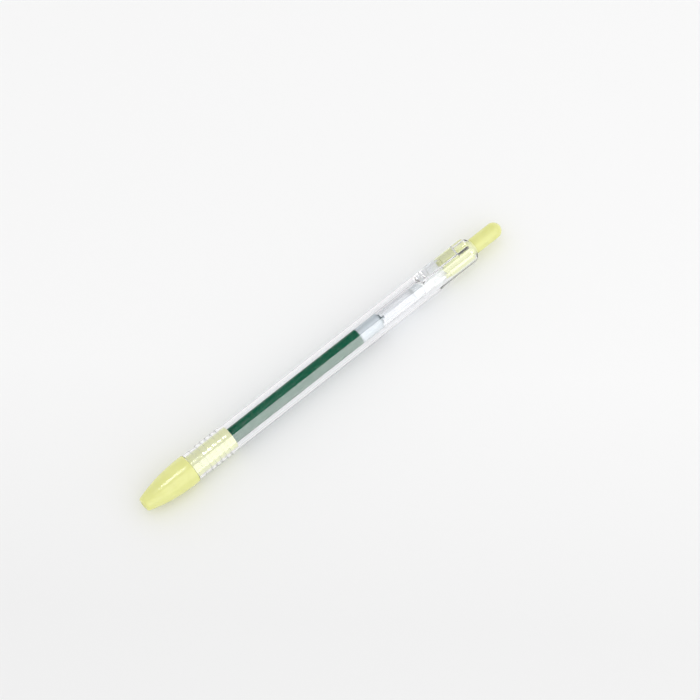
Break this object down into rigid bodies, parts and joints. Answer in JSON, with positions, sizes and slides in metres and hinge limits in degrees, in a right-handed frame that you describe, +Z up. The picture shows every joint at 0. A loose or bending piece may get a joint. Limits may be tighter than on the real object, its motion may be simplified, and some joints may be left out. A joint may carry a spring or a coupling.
{
  "type": "retractable gel pen",
  "caption": "Retractable gel pen: clear barrel with moulded clip and grip rings, screw-on nose cone, push button with cam, sliding gel-ink refill.",
  "frame": {"origin": "centre of the pen's footprint on the surface that it lies on, half way along its length", "axes": "+X from the nose to the button, +Z up with the clip on top, +Y across"},
  "size_m": [0.1466, 0.01, 0.0123],
  "materials": {
    "clear_styrene": "clear, polished, injection moulded",
    "lime_plastic": "glossy, slightly translucent lime",
    "refill_polypropylene": "clear, extruded, faintly milky",
    "natural_plastic": "natural, translucent white, satin",
    "gel_ink": "wet dark green gel with fine glitter",
    "follower_grease": "clear, faintly blue grease",
    "float_plastic": "dark translucent",
    "point_steel": "turned stainless steel",
    "ball_carbide": "ground and polished carbide",
    "spring_steel": "drawn spring wire"
  },
  "bodies": {
    "barrel": {"barrel": "clear_styrene"},
    "clip": {"clip": "clear_styrene"},
    "button": {"button": "lime_plastic"},
    "refill": {"refill_tube": "refill_polypropylene", "tip_holder": "natural_plastic", "tip_point": "point_steel", "ball_spring": "spring_steel", "ink": "gel_ink", "follower": "follower_grease", "float": "float_plastic", "tail_plug": "natural_plastic"},
    "rotor": {"rotor": "natural_plastic"},
    "ball": {"ball": "ball_carbide"},
    "spring": {"return_spring": "spring_steel"},
    "nose": {"nose_cone": "lime_plastic"}
  },
  "joints": [
    {"name": "button_press", "type": "slide", "parent": "barrel", "child": "button", "axis": [-1, 0, 0], "range_m": [0, 0.0064], "stiffness_N_per_m": 120, "springref_m": -0.005},
    {"name": "refill_slide", "type": "slide", "parent": "barrel", "child": "refill", "axis": [-1, 0, 0], "range_m": [0, 0.0064], "deforming": ["return_spring"]},
    {"name": "rotor_turn", "type": "hinge", "parent": "refill", "child": "rotor", "pos_m": [0.0463, 0, 0.005], "axis": [1, 0, 0], "range_deg": [0, 22.5]},
    {"name": "ball_roll", "type": "hinge", "parent": "refill", "child": "ball", "pos_m": [-0.07035, 0, 0.005], "axis": [0, 1, 0], "continuous": true},
    {"name": "nose_travel", "type": "slide", "parent": "barrel", "child": "spring", "axis": [-1, 0, 0], "range_m": [0, 0.005]},
    {"name": "nose_turn", "type": "hinge", "parent": "spring", "child": "nose", "pos_m": [-0.0633, 0, 0.005], "axis": [-1, 0, 0], "range_deg": [0, 900]},
    {"name": "clip_flex", "type": "hinge", "parent": "barrel", "child": "clip", "pos_m": [0.0595, 0, 0.0097], "axis": [0, 1, 0], "range_deg": [0, 5], "stiffness_Nm_per_rad": 0.6}
  ],
  "couplings": [
    {"joint": "refill_slide", "follows": "button_press", "ratio": 1},
    {"joint": "rotor_turn", "follows": "button_press", "rad_per_m": 61.35},
    {"joint": "nose_turn", "follows": "nose_travel", "rad_per_m": 3141.6}
  ]
}
